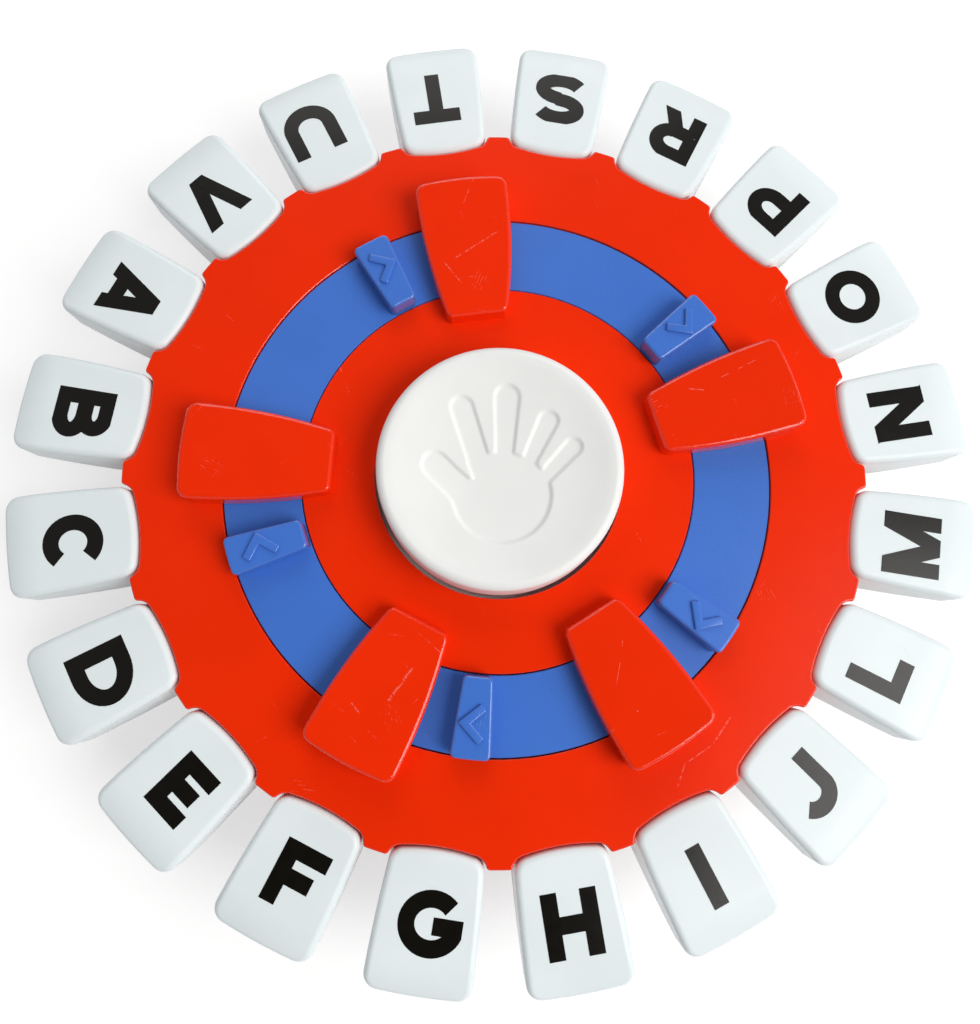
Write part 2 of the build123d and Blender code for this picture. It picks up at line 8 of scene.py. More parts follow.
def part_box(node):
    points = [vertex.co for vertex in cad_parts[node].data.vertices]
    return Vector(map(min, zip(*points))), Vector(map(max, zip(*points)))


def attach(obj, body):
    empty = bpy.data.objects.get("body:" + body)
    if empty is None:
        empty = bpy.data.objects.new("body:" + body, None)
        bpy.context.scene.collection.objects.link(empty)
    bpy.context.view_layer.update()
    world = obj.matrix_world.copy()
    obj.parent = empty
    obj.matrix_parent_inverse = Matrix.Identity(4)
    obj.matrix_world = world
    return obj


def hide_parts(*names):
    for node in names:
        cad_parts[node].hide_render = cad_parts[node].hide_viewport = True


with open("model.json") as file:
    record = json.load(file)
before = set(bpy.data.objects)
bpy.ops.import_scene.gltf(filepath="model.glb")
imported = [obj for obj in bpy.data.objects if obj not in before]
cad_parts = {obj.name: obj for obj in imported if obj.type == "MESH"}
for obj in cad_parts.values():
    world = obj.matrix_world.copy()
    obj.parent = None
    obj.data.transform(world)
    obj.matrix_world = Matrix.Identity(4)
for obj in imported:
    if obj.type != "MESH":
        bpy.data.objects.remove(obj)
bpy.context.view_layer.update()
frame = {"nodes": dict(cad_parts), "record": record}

# Word board game: the finishes of its CAD pieces, the printed letters on its keys, the palm
# button's moulded hand and the rounded arrowheads on its reset ring.
# Lengths are in metres, and mm turns millimetres into metres. Angles of places on the game are
# degrees clockwise from +Y, seen from above.
mm = 0.001
nodes = frame["nodes"]
key_names = sorted(name for name in nodes if name.startswith("key_") and name[4:].isdigit())
key_pitch = 360.0 / len(key_names)
key_angles = [key_pitch * (place + 0.5) for place in range(len(key_names))]
deck_top = max(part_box(name)[1].z for name in key_names)
button_low, button_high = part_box("push_button")


# Camera and lamps

# Where the camera stands from the middle of the deck, in millimetres, and how it leans, in degrees.
camera_stand = (-8.0, -42.2, 198.0)
camera_lean = (9.0, -1.58)
camera_lens = 25.31
sensor_width = 36.0


def make_camera():
    """The photograph's view: almost straight down, a little from the player's side."""
    camera = bpy.data.cameras.new("photo_camera")
    camera.sensor_width = sensor_width
    camera.lens = camera_lens
    camera.clip_end = 20.0
    seen = bpy.data.objects.new("photo_camera", camera)
    right, away, above = camera_stand
    seen.location = (right * mm, away * mm, deck_top + above * mm)
    seen.rotation_euler = (math.radians(camera_lean[0]), math.radians(camera_lean[1]), 0.0)
    bpy.context.scene.collection.objects.link(seen)
    bpy.context.scene.camera = seen


def toward(azimuth, elevation):
    """The direction from the game at a clockwise azimuth and an elevation, in degrees."""
    turn = math.radians(azimuth)
    lift = math.radians(elevation)
    return Vector((math.sin(turn) * math.cos(lift), math.cos(turn) * math.cos(lift), math.sin(lift)))


def make_lamp(name, azimuth, elevation, distance, width, height, watts, colour):
    """A broad soft lamp that faces the game."""
    lamp = bpy.data.lights.new(name, "AREA")
    lamp.shape = "RECTANGLE"
    lamp.size = width
    lamp.size_y = height
    lamp.energy = watts
    lamp.color = colour
    held = bpy.data.objects.new(name, lamp)
    aim = toward(azimuth, elevation)
    held.location = aim * distance
    held.rotation_euler = aim.to_track_quat("Z", "Y").to_euler()
    bpy.context.scene.collection.objects.link(held)


# Shader expressions

class Wire:
    """A socket that can be used in a Python expression, which adds its Math nodes."""

    def __init__(self, finish, socket):
        self.finish = finish
        self.socket = socket

    def maths(self, operation, *others):
        """A Math node with one of Blender's operations on this value and others."""
        sockets = dict(enumerate((self, *others)))
        return self.finish.node("Math", sockets, operation=operation)

    def __add__(self, other):
        return self.maths("ADD", other)

    def __sub__(self, other):
        return self.maths("SUBTRACT", other)

    def __rsub__(self, other):
        return self.maths("MULTIPLY_ADD", -1.0, other)

    def __mul__(self, other):
        return self.maths("MULTIPLY", other)

    def __lt__(self, other):
        return self.maths("LESS_THAN", other)

    def __abs__(self):
        return self.maths("ABSOLUTE")

    __radd__ = __add__
    __rmul__ = __mul__

    def ramp(self, low, high):
        """0 below low and 1 above high, with a smooth rise between them."""
        sockets = {"Value": self, "From Min": low, "From Max": high}
        return self.finish.node("MapRange", sockets, interpolation_type="SMOOTHSTEP", clamp=True)


class Finish:
    """One material, or the room's light, built node by node."""

    def __init__(self, name, room=None):
        self.material = room or bpy.data.materials.new(name)
        self.material.use_nodes = True
        self.tree = self.material.node_tree
        self.tree.nodes.clear()

    def node(self, kind, sockets, output=0, **settings):
        """Adds a node, sets it up, joins or sets its sockets, and returns one of its outputs."""
        made = self.tree.nodes.new("ShaderNode" + kind)
        for setting, value in settings.items():
            setattr(made, setting, value)
        for name, value in sockets.items():
            socket = made.inputs[name]
            if isinstance(value, Wire):
                self.tree.links.new(value.socket, socket)
            elif isinstance(value, tuple) and len(value) == 3 and socket.type == "RGBA":
                socket.default_value = (*value, 1.0)
            else:
                socket.default_value = value
        self.made = made
        return Wire(self, made.outputs[output])

    def other(self, output):
        """Another output of the node made last."""
        return Wire(self, self.made.outputs[output])

    def spot(self, scale=1.0):
        """The place on the object in the frame's own coordinates, in millimetres times a scale."""
        place = self.node("TexCoord", {}, output="Object")
        return self.node("VectorMath", {0: place, 3: scale / mm}, operation="SCALE")

    def noise(self, where, scale, detail=2.0, rough=0.5):
        """Cloudy noise about 0.5."""
        return self.node("TexNoise", {"Vector": where, "Scale": scale, "Detail": detail, "Roughness": rough})

    def tint(self, mask, below, above):
        """One colour where the mask is 0 and another where it is 1."""
        return self.node("Mix", {0: mask, 6: below, 7: above}, output=2, data_type="RGBA")

    def bump(self, height, strength, distance=0.1 * mm):
        """A normal that follows a height."""
        return self.node("Bump", {"Height": height, "Strength": strength, "Distance": distance})

    def surface(self, **sockets):
        """The shader itself. Underscores in a socket's name stand for spaces."""
        named = {name.replace("_", " "): value for name, value in sockets.items()}
        return self.show(self.node("BsdfPrincipled", named))

    def show(self, shader, target="Material"):
        """Makes a shader the surface of the material or of the room, and returns it."""
        result = self.tree.nodes.new("ShaderNodeOutput" + target)
        self.tree.links.new(shader.socket, result.inputs["Surface"])
        return self.material


# Marks of wear, with lengths in millimetres

def chance_frame(finish, where, cell):
    """A frame in each cell of a loose grid, turned by chance, and two more chances."""
    scaled = finish.node("VectorMath", {0: where, 3: 1 / cell}, operation="SCALE")
    centre = finish.node("TexVoronoi", {"Vector": scaled, "Scale": 1.0}, output="Position",
                         voronoi_dimensions="2D")
    chance = finish.other("Color")
    local = finish.node("VectorMath", {0: scaled, 1: centre}, operation="SUBTRACT")
    x = finish.node("SeparateXYZ", {0: local})
    y = finish.other("Y")
    spin = finish.node("SeparateColor", {0: chance})
    luck = finish.other("Green")
    size = finish.other("Blue")
    turn = spin * math.tau
    cosine = turn.maths("COSINE")
    sine = turn.maths("SINE")
    along = x * cosine + y * sine
    across = y * cosine - x * sine
    return scaled, along, across, luck, size


def scratch_layer(finish, where, cell, width, reach, share):
    """Fine scratches: at most one in each cell, turned, a little bent and broken up."""
    scaled, along, across, luck, size = chance_frame(finish, where, cell)
    across = across + (size - 0.5) * along * along * 0.3
    line = 1 - abs(across).ramp(0.3 * width / cell, width / cell)
    end = 1 - abs(along).ramp(0.3 * reach, reach)
    broken = finish.noise(scaled, 12.0).ramp(0.42, 0.6)
    return line * end * broken * (luck < share)


def rubbed_patches(finish, where, cell, gap, width, share):
    """Patches of short parallel hairlines, where something was rubbed over the plastic."""
    scaled, along, across, luck, size = chance_frame(finish, where, cell)
    line = 1 - across.maths("PINGPONG", gap / cell / 2).ramp(0.3 * width / cell, width / cell)
    patch = (1 - abs(across).ramp(0.1, 0.2)) * (1 - abs(along).ramp(0.1, 0.3))
    broken = finish.noise(scaled, 14.0).ramp(0.45, 0.6)
    return line * patch * broken * (luck < share)


def worn_line(x, y, start, end, width):
    """A straight scratch between two places on the game, seen from above."""
    run = Vector(end) - Vector(start)
    length = run.length
    run.normalize()
    along = x * run.x + y * run.y - run.dot(Vector(start))
    across = y * run.x - x * run.y - (start[1] * run.x - start[0] * run.y)
    line = 1 - abs(across).ramp(0.2 * width, width)
    return line * (1 - abs(along - length / 2).ramp(0.38 * length, 0.5 * length))


def specks(finish, where, cell, radius, share):
    """Small pale specks of dust and pits."""
    scaled = finish.node("VectorMath", {0: where, 3: 1 / cell}, operation="SCALE")
    distance = finish.node("TexVoronoi", {"Vector": scaled, "Scale": 1.0}, output="Distance")
    chance = finish.other("Color")
    luck = finish.node("SeparateColor", {0: chance})
    size = finish.other("Green")
    return (1 - distance.ramp(0.2 * radius / cell, radius / cell)) * (luck < share) * size


# Finishes

# What stands this far above the deck is handled most, and takes this much more wear.
raised_above = 2.0
raised_wear = 3.0


def moulded_plastic(name, colour, scratched, rough, gloss, wear, edge_shine=0.0, worn_lines=()):
    """Moulded plastic: flow marks, scratches, rubbed patches, specks, and edges worn smooth."""
    finish = Finish(name)
    where = finish.spot()
    x = finish.node("SeparateXYZ", {0: where})
    y = finish.other("Y")
    height = finish.other("Z")
    raised = (height - (deck_top / mm + raised_above)).ramp(0.0, 1.0)
    share = wear * (1 + raised * raised_wear)
    finish.node("SeparateXYZ", {0: finish.node("TexCoord", {}, output="Normal")})
    facing_up = finish.other("Z")
    polish = 1 - facing_up.ramp(0.955, 0.998)
    flow = finish.noise(where, 0.035, 3.0)
    grain = finish.noise(where, 2.2, 2.0)
    long_marks = scratch_layer(finish, where, cell=26.0, width=0.16, reach=0.42, share=share)
    short_marks = scratch_layer(finish, where, cell=9.0, width=0.14, reach=0.35, share=share)
    rubbed = rubbed_patches(finish, where, cell=17.0, gap=0.9, width=0.13, share=share)
    marks = (long_marks + short_marks * 0.7 + rubbed * 0.7).ramp(0.0, 1.0)
    dashes = finish.noise(where, 1.6, 2.0).ramp(0.38, 0.55)
    for start, end, width in worn_lines:
        marks = marks + worn_line(x, y, start, end, width) * dashes
    marks = marks * facing_up.ramp(0.5, 0.9)
    dust = specks(finish, where, cell=7.0, radius=0.3, share=wear * 2)
    shade = finish.tint(flow.ramp(0.3, 0.7), tuple(c * 0.95 for c in colour), colour)
    shade = finish.tint((marks * 0.4 + dust * 0.6).ramp(0.0, 1.0), shade, scratched)
    roughness = rough + marks * 0.2 + (flow - 0.5) * 0.08 + (grain - 0.5) * 0.05
    relief = grain * 0.02 - marks * 0.4 - dust * 0.3
    normal = finish.bump(relief, 0.3, 0.08 * mm)
    return finish.surface(Base_Color=shade, Roughness=roughness, Normal=normal, Specular_IOR_Level=gloss,
                          Coat_Weight=polish * edge_shine, Coat_Roughness=0.12)


def printed_ink():
    """Black pad print: a little olive, with tiny nicks that show the white key."""
    finish = Finish("letter_ink")
    where = finish.spot()
    nicks = specks(finish, where, cell=3.0, radius=0.2, share=0.05)
    cloud = finish.noise(where, 0.3, 3.0)
    shade = finish.tint(cloud, (0.004, 0.0035, 0.0025), (0.007, 0.006, 0.004))
    shade = finish.tint(nicks.ramp(0.2, 0.6), shade, (0.55, 0.56, 0.5))
    normal = finish.bump(finish.noise(where, 3.0), 0.12)
    return finish.surface(Base_Color=shade, Roughness=0.17 + cloud * 0.08, Normal=normal,
                          Specular_IOR_Level=0.27)


def metal(name, colour, rough, stretch):
    """Drawn, plated or brushed metal, with its streaks along one axis."""
    finish = Finish(name)
    where = finish.spot()
    streaked = finish.node("Mapping", {"Vector": where, "Scale": stretch})
    streaks = finish.noise(streaked, 1.0, 4.0)
    blotches = finish.noise(where, 0.25, 2.0)
    shade = finish.tint(streaks, tuple(c * 0.72 for c in colour), colour)
    roughness = rough + (streaks - 0.5) * 0.2 + (blotches - 0.5) * 0.12
    normal = finish.bump(streaks, 0.2, 0.03 * mm)
    return finish.surface(Base_Color=shade, Metallic=1.0, Roughness=roughness, Normal=normal)


def foot_rubber():
    """Soft dark rubber with a fine matt grain."""
    finish = Finish("foot_rubber")
    where = finish.spot()
    grain = finish.noise(where, 3.0, 4.0)
    dust = finish.noise(where, 0.4, 3.0).ramp(0.45, 0.75)
    shade = finish.tint(dust * 0.5, (0.022, 0.022, 0.023), (0.075, 0.07, 0.065))
    return finish.surface(Base_Color=shade, Roughness=0.75 + grain * 0.1, Normal=finish.bump(grain, 0.5))


def board_laminate():
    """Green solder mask over faint copper tracks."""
    finish = Finish("board_green")
    where = finish.spot()
    x = finish.node("SeparateXYZ", {0: where})
    y = finish.other("Y")
    slanted = x * 0.45 + y * 0.05
    tracks = 1 - abs(slanted.maths("FRACT") - 0.5).ramp(0.08, 0.13)
    weave = finish.noise(where, 1.5, 2.0)
    shade = finish.tint(tracks * 0.6, (0.012, 0.13, 0.045), (0.04, 0.3, 0.09))
    return finish.surface(Base_Color=shade, Roughness=0.35 + weave * 0.1, Normal=finish.bump(tracks, 0.3))


def wire_sleeve():
    """Red insulation on the leads."""
    finish = Finish("wire_sleeve")
    where = finish.spot()
    cloud = finish.noise(where, 0.8, 2.0)
    shade = finish.tint(cloud, (0.35, 0.01, 0.008), (0.5, 0.02, 0.012))
    return finish.surface(Base_Color=shade, Roughness=0.45 + cloud * 0.1, Normal=finish.bump(cloud, 0.1))


def cell_wrap():
    """The printed sleeve of a plain cell: dark, with a coppery end and bare metal past it."""
    finish = Finish("cell_can")
    where = finish.spot()
    x = finish.node("SeparateXYZ", {0: where})
    band = (abs(x) - 12.0).ramp(-0.1, 0.1)
    bare = (abs(x) - 24.6).ramp(-0.05, 0.05)
    streaks = finish.noise(where, 2.0, 3.0)
    shade = finish.tint(band, (0.03, 0.032, 0.035), (0.5, 0.22, 0.08))
    shade = finish.tint(bare, shade, (0.6, 0.6, 0.62))
    return finish.surface(Base_Color=shade, Metallic=0.4 + bare * 0.6, Roughness=0.3 + streaks * 0.1)


# Floor and room

floor_half = 4.0
floor_glow = 0.6
wall_light = 0.46
ceiling_light = 0.36


def white_stage():
    """A floor that looks white to the camera and still takes the game's shadow."""
    finish = Finish("studio_floor")
    where = finish.spot()
    grain = finish.noise(where, 0.5)
    looked_at = finish.node("LightPath", {}, output="Is Camera Ray")
    mirrored = finish.other("Is Glossy Ray")
    refracted = finish.other("Is Transmission Ray")
    seen = looked_at + mirrored + refracted
    glow = finish.node("Emission", {"Color": (1.0, 1.0, 1.0), "Strength": seen * floor_glow})
    shade = finish.tint(grain, (0.5, 0.5, 0.5), (0.52, 0.52, 0.52))
    diffuse = finish.node("BsdfDiffuse", {"Color": shade})
    return finish.show(finish.node("AddShader", {0: diffuse, 1: glow}))


def make_stage():
    """The pale floor under the game, and an even white room."""
    corners = [(x * floor_half, y * floor_half, 0) for x, y in ((-1, -1), (1, -1), (1, 1), (-1, 1))]
    mesh = bpy.data.meshes.new("studio_floor")
    mesh.from_pydata(corners, [], [(0, 1, 2, 3)])
    floor = bpy.data.objects.new("studio_floor", mesh)
    mesh.materials.append(white_stage())
    bpy.context.scene.collection.objects.link(floor)
    bpy.context.scene.world = room_light()


def room_light():
    """A room with white walls, a dimmer ceiling and a dark patch almost overhead."""
    finish = Finish("studio_room", bpy.data.worlds.new("studio_room"))
    where = finish.node("TexCoord", {}, output="Generated")
    finish.node("SeparateXYZ", {0: where})
    lift = finish.other("Z")
    patch = finish.node("VectorMath", {0: where, 1: toward(186.0, 75.0)}, output="Value",
                        operation="DOT_PRODUCT")
    strength = wall_light + lift.ramp(0.1, 0.7) * (ceiling_light - wall_light)
    strength = strength * (1 - patch.ramp(0.88, 0.95) * 0.9)
    glow = finish.node("Background", {"Color": (0.97, 0.985, 1.0), "Strength": strength})
    return finish.show(glow, "World")


# Printed letters

cap_height = 16.3
ink_width = 4.3
ink_rise = 0.07
ink_sink = 0.05
letter_radius = 118.3
arc_step = 9


def bar(*points):
    """A straight or angled stroke through points."""
    return list(points), False


def arc(x, y, width, height, start, end):
    """Points of an oval arc, from one angle to another, anticlockwise from +X."""
    count = max(2, round(abs(end - start) / arc_step))
    turns = [math.radians(start + (end - start) * step / count) for step in range(count + 1)]
    return [(x + width * math.cos(turn), y + height * math.sin(turn)) for turn in turns]


def bowl(left, x, middle, width, height):
    """A stroke that leaves a stem, goes round a bowl and comes back to the stem."""
    turn = arc(x, middle, width, height, 90, -90)
    return [(left, middle + height)] + turn + [(left, middle - height)], False


# Half the letters' height, the middle of a stroke that lies along their top, and the end of a
# slanted stroke, which runs past the top and is cut off there.
half_cap = cap_height / 2
line = half_cap - ink_width / 2
over = half_cap + 4.0
letter_strokes = {
    "A": [bar((1.1, over), (-5.9, -over)), bar((-1.1, over), (5.9, -over)), bar((-4.0, -4.3), (4.0, -4.3))],
    "B": [bar((-4.2, -half_cap), (-4.2, half_cap)), bowl(-4.2, 0.2, 3.35, 3.4, 3.0),
          bowl(-4.2, 0.6, -3.1, 4.0, 3.25)],
    "C": [(arc(0.4, 0, 5.9, line, 42, 318), False)],
    "D": [bar((-4.6, -half_cap), (-4.6, half_cap)), bowl(-4.6, -1.4, 0.0, 6.1, line)],
    "E": [bar((-3.6, -half_cap), (-3.6, half_cap)), bar((-3.6, line), (5.6, line)), bar((-3.6, 0), (4.2, 0)),
          bar((-3.6, -line), (5.6, -line))],
    "F": [bar((-3.4, -half_cap), (-3.4, half_cap)), bar((-3.4, line), (5.9, line)),
          bar((-3.4, -0.6), (4.2, -0.6))],
    "G": [(arc(0.2, 0, 6.1, line, 44, 344), False), bar((0.6, -0.5), (7.9, -0.5))],
    "H": [bar((-4.7, -half_cap), (-4.7, half_cap)), bar((4.7, -half_cap), (4.7, half_cap)),
          bar((-4.7, 0), (4.7, 0))],
    "I": [bar((0, -half_cap), (0, half_cap))],
    "J": [([(3.3, half_cap)] + arc(-0.9, -line + 4.2, 4.2, 4.2, 0, -150), False)],
    "L": [bar((-3.4, -half_cap), (-3.4, half_cap)), bar((-3.4, -line), (5.2, -line))],
    "M": [bar((-6.6, -half_cap), (-6.6, half_cap)), bar((6.6, -half_cap), (6.6, half_cap)),
          bar((-8.1, over), (1.5, -over)), bar((8.1, over), (-1.5, -over))],
    "N": [bar((-4.9, -half_cap), (-4.9, half_cap)), bar((4.9, -half_cap), (4.9, half_cap)),
          bar((-7.2, over), (7.2, -over))],
    "O": [(arc(0, 0, 5.9, line, 0, 351), True)],
    "P": [bar((-3.9, -half_cap), (-3.9, half_cap)), bowl(-3.9, 0.7, 2.3, 4.2, 4.05)],
    "R": [bar((-4.2, -half_cap), (-4.2, half_cap)), bowl(-4.2, 0.4, 2.5, 4.1, 3.85),
          bar((-0.4, 0.0), (6.0, -over))],
    "S": [(arc(0.1, 3.3, 4.5, 3.05, 28, 270) + arc(-0.1, -3.3, 4.5, 3.05, 90, -152)[1:], False)],
    "T": [bar((0, -half_cap), (0, half_cap)), bar((-6.4, line), (6.4, line))],
    "U": [([(-5.2, half_cap)] + arc(0, -line + 5.2, 5.2, 5.2, 180, 360) + [(5.2, half_cap)], False)],
    "V": [bar((-6.9, over), (1.2, -over)), bar((6.9, over), (-1.2, -over))],
}
# The letters of key_01 to the last key, clockwise from the far side.
key_letters = "SRPONMLJIHGFEDCBAVUT"
# How much wider than its strokes each letter is printed, and how far right and down it sits.
letter_fit = {
    "S": (1.3, -0.3, 0.9), "R": (1.15, -0.3, 0.9), "P": (1.15, -0.4, 0.2), "O": (1.05, 0.7, 0.0),
    "N": (1.08, 0.0, -0.9), "M": (1.0, -1.3, -0.6), "L": (1.05, -1.2, -0.9), "J": (1.1, -0.9, -0.4),
    "I": (1.0, -0.4, 1.0), "H": (1.1, 0.0, 0.8), "G": (1.06, 0.8, 0.2), "F": (1.14, 1.2, -0.2),
    "E": (1.03, 1.3, -0.5), "D": (1.25, 1.5, 0.3), "C": (0.95, 1.0, -0.5), "B": (1.13, 1.7, -0.6),
    "A": (1.12, 1.8, -0.5), "V": (1.0, 1.0, -0.1), "U": (1.15, 2.2, 1.4), "T": (1.1, 0.9, 0.3),
}


def letter_tree():
    """Geometry Nodes that turn centre lines into the flat plate of one printed letter."""
    tree = bpy.data.node_groups.new("printed_letter", "GeometryNodeTree")
    face = tree.interface
    face.new_socket("Strokes", in_out="INPUT", socket_type="NodeSocketGeometry")
    for name, value in (("Ink Width", ink_width * mm), ("Ink Depth", (ink_rise + ink_sink) * mm),
                        ("Cap Height", cap_height * mm)):
        socket = face.new_socket(name, in_out="INPUT", socket_type="NodeSocketFloat")
        socket.default_value = value
    face.new_socket("Ink", in_out="INPUT", socket_type="NodeSocketMaterial")
    face.new_socket("Letter", in_out="OUTPUT", socket_type="NodeSocketGeometry")

    def add(kind, **settings):
        made = tree.nodes.new(kind)
        for setting, value in settings.items():
            setattr(made, setting, value)
        return made

    def join(source, output, target, name):
        tree.links.new(source.outputs[output], target.inputs[name])

    given = add("NodeGroupInput")
    line_curve = add("GeometryNodeMeshToCurve")
    upright = add("GeometryNodeSetCurveNormal", mode="Z_UP")
    section = add("GeometryNodeCurvePrimitiveQuadrilateral")
    sweep = add("GeometryNodeCurveToMesh")
    merge = add("GeometryNodeMeshBoolean", operation="UNION", solver="EXACT")
    frame_box = add("GeometryNodeMeshCube")
    size = add("ShaderNodeCombineXYZ")
    trim = add("GeometryNodeMeshBoolean", operation="INTERSECT", solver="EXACT")
    real = add("GeometryNodeRealizeInstances")
    paint = add("GeometryNodeSetMaterial")
    result = add("NodeGroupOutput")
    join(given, "Strokes", line_curve, "Mesh")
    join(line_curve, "Curve", upright, "Curve")
    join(given, "Ink Width", section, "Width")
    join(given, "Ink Depth", section, "Height")
    join(upright, "Curve", sweep, "Curve")
    join(section, "Curve", sweep, "Profile Curve")
    sweep.inputs["Fill Caps"].default_value = True
    join(sweep, "Mesh", merge, "Mesh 2")
    merge.inputs["Self Intersection"].default_value = True
    size.inputs["X"].default_value = 2 * cap_height * mm
    size.inputs["Z"].default_value = 2 * mm
    join(given, "Cap Height", size, "Y")
    join(size, "Vector", frame_box, "Size")
    join(merge, "Mesh", trim, "Mesh 2")
    join(frame_box, "Mesh", trim, "Mesh 2")
    join(trim, "Mesh", real, "Geometry")
    join(real, "Geometry", paint, "Geometry")
    join(given, "Ink", paint, "Material")
    join(paint, "Geometry", result, "Letter")
    return tree


def stroke_mesh(letter):
    """The centre lines of a letter as edges."""
    points = []
    edges = []
    widen = letter_fit[letter][0]
    for path, closed in letter_strokes[letter]:
        first = len(points)
        points += [(x * widen * mm, y * mm, 0.0) for x, y in path]
        edges += [(at, at + 1) for at in range(first, len(points) - 1)]
        if closed:
            edges.append((len(points) - 1, first))
    mesh = bpy.data.meshes.new("strokes_" + letter)
    mesh.from_pydata(points, edges, [])
    return mesh


def printed_letter(letter, tree, ink, place):
    """The plain mesh of one letter, with its place in the mesh."""
    source = bpy.data.objects.new("letter_" + letter, stroke_mesh(letter))
    bpy.context.scene.collection.objects.link(source)
    modifier = source.modifiers.new("printed_letter", "NODES")
    modifier.node_group = tree
    ink_socket = next(item.identifier for item in tree.interface.items_tree if item.name == "Ink")
    modifier[ink_socket] = ink
    shown = source.evaluated_get(bpy.context.evaluated_depsgraph_get())
    mesh = bpy.data.meshes.new_from_object(shown)
    source.modifiers.clear()
    source.data = mesh
    mesh.transform(place)
    mesh.shade_flat()
    return source


def key_place(angle, radius, height):
    """Turns a flat letter so that its top points to the middle, and sets it on a key."""
    outward = Matrix.Rotation(math.radians(-angle), 4, "Z")
    shift = Matrix.Translation((0.0, radius * mm, height))
    return outward @ shift @ Matrix.Rotation(math.pi, 4, "Z")


def make_letters(ink):
    """A printed letter on every key."""
    tree = letter_tree()
    height = deck_top + (ink_rise - ink_sink) / 2 * mm
    for name, letter, angle in zip(key_names, key_letters, key_angles):
        right, down = letter_fit[letter][1:]
        spot = key_place(angle, letter_radius, height) @ Matrix.Translation((right * mm, -down * mm, 0.0))
        piece = printed_letter(letter, tree, ink, spot)
        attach(piece, name + "_body")


# Palm button, with its sizes in millimetres and its heights from the crest of the rim

flange_reach = 2.2
dish_radius = 30.4
dish_depth = 3.0
dish_power = 2.6
dish_blend = 0.5
roll_width = 2.6
roll_height = 2.0
wall_lean = 0.5
wall_height = 18.4
flange_height = 1.6
web_depth = 4.7
button_wall = 2.0
tube_outer = 6.8
tube_inner = 5.2
tube_end = (button_low.z - button_high.z) / mm
plunger_radius = 2.5
plunger_place = (-15.0, 25.0)
plunger_length = 26.6
plunger_sides = 32
spokes = 384
hand_step = 0.25
hand_reach = 26.0
slope_steps = 16
roll_steps = 9
hand_depth = 0.65
hand_wall = 1.3
hand_blend = 1.0
# Centre and radius of the palm, and how much flatter it is on the side of the fingers. Then tip,
# root and both radii of each finger, thumb first.
palm = (0.4, -7.2, 13.3)
palm_flatter = 1.17
fingers = [
    ((-17.5, 0.6), (-8.5, -8.4), 3.6, 3.6),
    ((-10.4, 16.4), (-5.0, -0.4), 3.1, 2.9),
    ((1.9, 19.4), (1.0, 0.5), 3.4, 2.2),
    ((13.1, 12.9), (7.2, 0.6), 2.7, 1.9),
    ((19.7, 5.6), (11.6, -3.0), 2.4, 1.9),
]
# The land between the thumb and the first finger, which cuts into the palm.
thumb_web = ((-14.0, 5.0), (-8.1, -2.2), 3.5, 1.0)


def blend_low(first, second, reach):
    """The lower of two values, with a soft change from one to the other."""
    mix = max(reach - abs(first - second), 0.0) / reach
    return min(first, second) - mix * mix * reach / 4


def finger_distance(x, y, finger):
    """How far a point is outside one finger, in millimetres. Inside, it is negative."""
    (tip_x, tip_y), (root_x, root_y), tip_radius, root_radius = finger
    run_x = tip_x - root_x
    run_y = tip_y - root_y
    along = ((x - root_x) * run_x + (y - root_y) * run_y) / (run_x * run_x + run_y * run_y)
    along = min(max(along, 0.0), 1.0)
    away = math.hypot(x - root_x - run_x * along, y - root_y - run_y * along)
    return away - root_radius - (tip_radius - root_radius) * along


def hand_distance(x, y):
    """How far a point is outside the hand, in millimetres. Inside, it is negative."""
    lift = y - palm[1]
    near = math.hypot(x - palm[0], lift * palm_flatter if lift > 0 else lift) - palm[2]
    near = max(near, -finger_distance(x, y, thumb_web))
    for finger in fingers:
        near = blend_low(near, finger_distance(x, y, finger), hand_blend)
    return near


def hand_sink(x, y):
    """How deep the hand is pressed in at a point."""
    part = min(max(0.5 - hand_distance(x, y) / hand_wall, 0.0), 1.0)
    return hand_depth * part * part * (3 - 2 * part)


def dish_height(radius):
    """The dished top below the rim's crest."""
    bowl_height = dish_depth * ((radius / dish_radius) ** dish_power - 1)
    return blend_low(bowl_height, 0.0, dish_blend)


def button_profile(outer):
    """Radius and height of each ring of the button, from the middle of its top to its underside."""
    count = round(hand_reach / hand_step)
    inside = [(hand_step * step, dish_height(hand_step * step)) for step in range(1, count + 1)]
    crest = outer - wall_lean - roll_width
    slope_step = (crest - hand_reach) / slope_steps
    slope = [hand_reach + slope_step * step for step in range(1, slope_steps + 1)]
    rim = [(radius, dish_height(radius)) for radius in slope]
    turns = [math.radians(90 * step / roll_steps) for step in range(1, roll_steps + 1)]
    roll = [(crest + roll_width * math.sin(turn), roll_height * (math.cos(turn) - 1)) for turn in turns]
    rise = (button_high.z - deck_top) / mm
    below = wall_height + flange_height
    hidden = [(outer, -rise), (outer, -wall_height), (outer + flange_reach, -wall_height),
              (outer + flange_reach, -below), (outer - button_wall, -below),
              (outer - button_wall, -web_depth), (tube_outer, -web_depth), (tube_outer, tube_end),
              (tube_inner, tube_end), (tube_inner, -web_depth)]
    return inside + rim + roll + hidden


